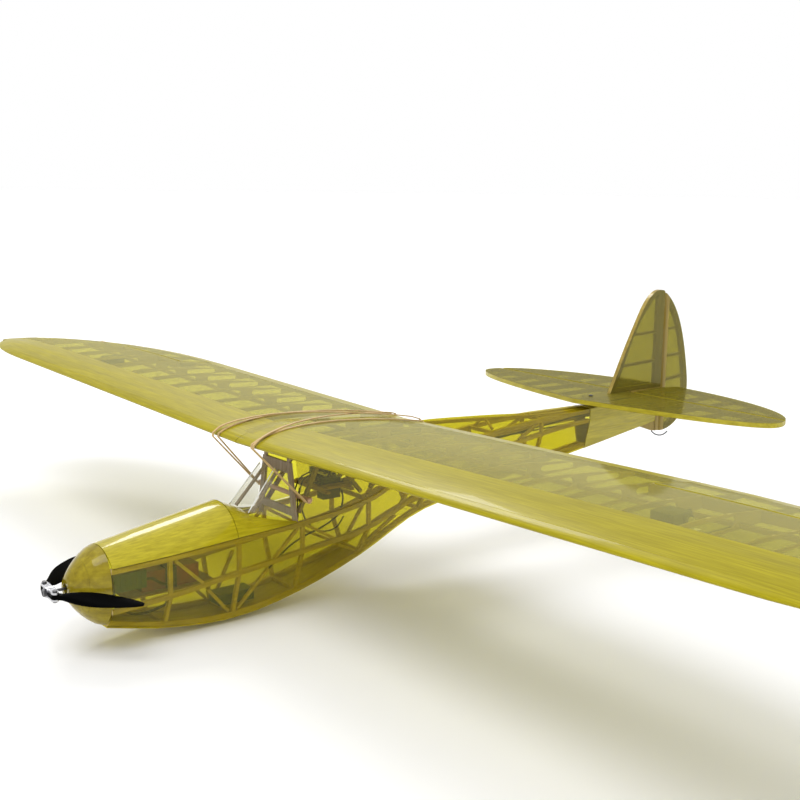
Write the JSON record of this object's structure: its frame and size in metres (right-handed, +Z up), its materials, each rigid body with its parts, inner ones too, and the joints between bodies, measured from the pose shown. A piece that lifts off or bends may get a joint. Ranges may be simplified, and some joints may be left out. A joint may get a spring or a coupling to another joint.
{
  "type": "electric model glider",
  "caption": "Radio-controlled electric glider with a built-up wooden frame under clear yellow film, a folding propeller, rubber-banded wing and moving ailerons, elevator and rudder.",
  "frame": {"origin": "centre of the bounding box in plan, at the underside of the belly skid", "axes": "+X towards the port wing tip, +Y towards the tail, +Z up"},
  "size_m": [1.5496, 0.9503, 0.3164],
  "materials": {
    "covered_balsa": "glossy film over grained wood",
    "clear_film": "glossy clear yellow film",
    "balsa": "bare grained wood",
    "skid_wood": "bare wood",
    "plywood": "bare ply, fine grain",
    "dowel_wood": "bare turned wood",
    "clear_screen": "clear polished",
    "rubber_strand": "matte",
    "motor_metal": "satin",
    "black_plastic": "satin",
    "turned_aluminium": "polished",
    "dark_steel": "dark satin",
    "pack_wrap": "shrink wrap",
    "circuit_wrap": "shrink wrap",
    "strap_fabric": "woven",
    "lead_plastic": "matte",
    "white_plastic": "satin",
    "servo_plastic": "satin"
  },
  "bodies": {
    "airframe": {"back_and_belly_film": "clear_film", "battery": "pack_wrap", "battery_strap": "strap_fabric", "belly_sheet": "covered_balsa", "belly_skid": "skid_wood", "cabin_frame": "plywood", "equipment_trays": "plywood", "fin_film": "clear_film", "fin_frame": "covered_balsa", "firewall": "plywood", "frame_braces": "balsa", "fuselage_side_film": "clear_film", "longerons": "balsa", "motor": "motor_metal", "nose_cap": "covered_balsa", "nose_ring": "covered_balsa", "rear_deck": "covered_balsa", "receiver": "circuit_wrap", "rubber_bands": "rubber_strand", "servos": "servo_plastic", "speed_controller": "circuit_wrap", "sternpost": "balsa", "tail_cone": "covered_balsa", "tail_fittings": "dark_steel", "tailplane_film": "clear_film", "tailplane_frame": "covered_balsa", "windscreen": "clear_screen", "wing_dowels": "dowel_wood", "wing_film": "clear_film", "wing_leading_edge": "covered_balsa", "wing_ribs": "balsa", "wing_sheeting": "covered_balsa", "wing_spars": "balsa", "wing_trailing_edge": "covered_balsa", "wiring": "lead_plastic"},
    "propeller": {"propeller_yoke": "turned_aluminium", "propeller_hardware": "dark_steel"},
    "blade_port": {"blade_port": "black_plastic"},
    "blade_starboard": {"blade_starboard": "black_plastic"},
    "hatch": {"nose_hatch": "covered_balsa"},
    "aileron_port": {"aileron_frame_port": "covered_balsa", "aileron_horn_port": "white_plastic", "aileron_film_port": "clear_film"},
    "aileron_starboard": {"aileron_frame_starboard": "covered_balsa", "aileron_horn_starboard": "white_plastic", "aileron_film_starboard": "clear_film"},
    "arm_port": {"aileron_arm_port": "white_plastic"},
    "arm_starboard": {"aileron_arm_starboard": "white_plastic"},
    "rod_port": {"aileron_pushrod_port": "dark_steel"},
    "rod_starboard": {"aileron_pushrod_starboard": "dark_steel"},
    "elevator": {"elevator_frame": "covered_balsa", "elevator_film": "clear_film", "elevator_joiner": "dowel_wood"},
    "rudder": {"rudder_frame": "covered_balsa", "rudder_horn": "white_plastic", "rudder_film": "clear_film"},
    "elevator_servo_arm": {"elevator_arm": "white_plastic"},
    "elevator_rod": {"elevator_pushrod": "dark_steel"},
    "rudder_servo_arm": {"rudder_arm": "white_plastic"},
    "rudder_rod": {"rudder_pushrod": "dark_steel"}
  },
  "joints": [
    {"name": "propeller_spin", "type": "hinge", "parent": "airframe", "child": "propeller", "pos_m": [0, -0.46835, 0.0635], "axis": [0, 1, 0], "continuous": true},
    {"name": "blade_port_unfold", "type": "hinge", "parent": "propeller", "child": "blade_port", "pos_m": [0.01297, -0.46835, 0.06259], "axis": [-0.0698, 0, -0.9976], "range_deg": [0, 46.5]},
    {"name": "blade_starboard_unfold", "type": "hinge", "parent": "propeller", "child": "blade_starboard", "pos_m": [-0.01297, -0.46835, 0.06441], "axis": [0.0698, 0, 0.9976], "range_deg": [0, 46.5]},
    {"name": "hatch_lift", "type": "slide", "parent": "airframe", "child": "hatch", "axis": [0, 0, 1], "range_m": [0, 0.06]},
    {"name": "aileron_port_swing", "type": "hinge", "parent": "airframe", "child": "aileron_port", "pos_m": [0.54972, -0.10385, 0.20356], "axis": [0.9997, 0, 0.0244], "range_deg": [-20, 20]},
    {"name": "aileron_starboard_swing", "type": "hinge", "parent": "airframe", "child": "aileron_starboard", "pos_m": [-0.54972, -0.10385, 0.20356], "axis": [0.9997, 0, -0.0244], "range_deg": [-20, 20]},
    {"name": "aileron_arm_port_swing", "type": "hinge", "parent": "airframe", "child": "arm_port", "pos_m": [0.51182, -0.16285, 0.20321], "axis": [0.9997, 0, 0.0244], "range_deg": [-20, 20]},
    {"name": "aileron_rod_port_turn", "type": "hinge", "parent": "arm_port", "child": "rod_port", "pos_m": [0.51211, -0.16285, 0.19121], "axis": [0.9997, 0, 0.0244], "range_deg": [-20, 20]},
    {"name": "aileron_arm_starboard_swing", "type": "hinge", "parent": "airframe", "child": "arm_starboard", "pos_m": [-0.51182, -0.16285, 0.20321], "axis": [0.9997, 0, -0.0244], "range_deg": [-20, 20]},
    {"name": "aileron_rod_starboard_turn", "type": "hinge", "parent": "arm_starboard", "child": "rod_starboard", "pos_m": [-0.51211, -0.16285, 0.19121], "axis": [0.9997, 0, -0.0244], "range_deg": [-20, 20]},
    {"name": "elevator_swing", "type": "hinge", "parent": "airframe", "child": "elevator", "pos_m": [0, 0.35015, 0.1779], "axis": [1, 0, 0], "range_deg": [-20, 20]},
    {"name": "elevator_arm_swing", "type": "hinge", "parent": "airframe", "child": "elevator_servo_arm", "pos_m": [-0.0029, -0.13585, 0.1335], "axis": [1, 0, 0], "range_deg": [-20, 20]},
    {"name": "elevator_rod_turn", "type": "hinge", "parent": "elevator_servo_arm", "child": "elevator_rod", "pos_m": [-0.0029, -0.13585, 0.1215], "axis": [1, 0, 0], "range_deg": [-20, 20]},
    {"name": "rudder_swing", "type": "hinge", "parent": "airframe", "child": "rudder", "pos_m": [0, 0.41815, 0.2155], "axis": [0, 0, 1], "range_deg": [-25, 25]},
    {"name": "rudder_arm_swing", "type": "hinge", "parent": "airframe", "child": "rudder_servo_arm", "pos_m": [0.0103, -0.15535, 0.1366], "axis": [0, 0, 1], "range_deg": [-25, 25]},
    {"name": "rudder_rod_turn", "type": "hinge", "parent": "rudder_servo_arm", "child": "rudder_rod", "pos_m": [-0.0017, -0.15535, 0.1366], "axis": [0, 0, 1], "range_deg": [-25, 25]}
  ],
  "couplings": [
    {"joint": "aileron_starboard_swing", "follows": "aileron_port_swing", "ratio": -1},
    {"joint": "aileron_arm_port_swing", "follows": "aileron_port_swing", "ratio": 1},
    {"joint": "aileron_arm_starboard_swing", "follows": "aileron_port_swing", "ratio": -1},
    {"joint": "aileron_rod_port_turn", "follows": "aileron_port_swing", "ratio": -1},
    {"joint": "aileron_rod_starboard_turn", "follows": "aileron_port_swing", "ratio": 1},
    {"joint": "elevator_arm_swing", "follows": "elevator_swing", "ratio": 1},
    {"joint": "elevator_rod_turn", "follows": "elevator_swing", "ratio": -1},
    {"joint": "rudder_arm_swing", "follows": "rudder_swing", "ratio": 1},
    {"joint": "rudder_rod_turn", "follows": "rudder_swing", "ratio": -1}
  ]
}
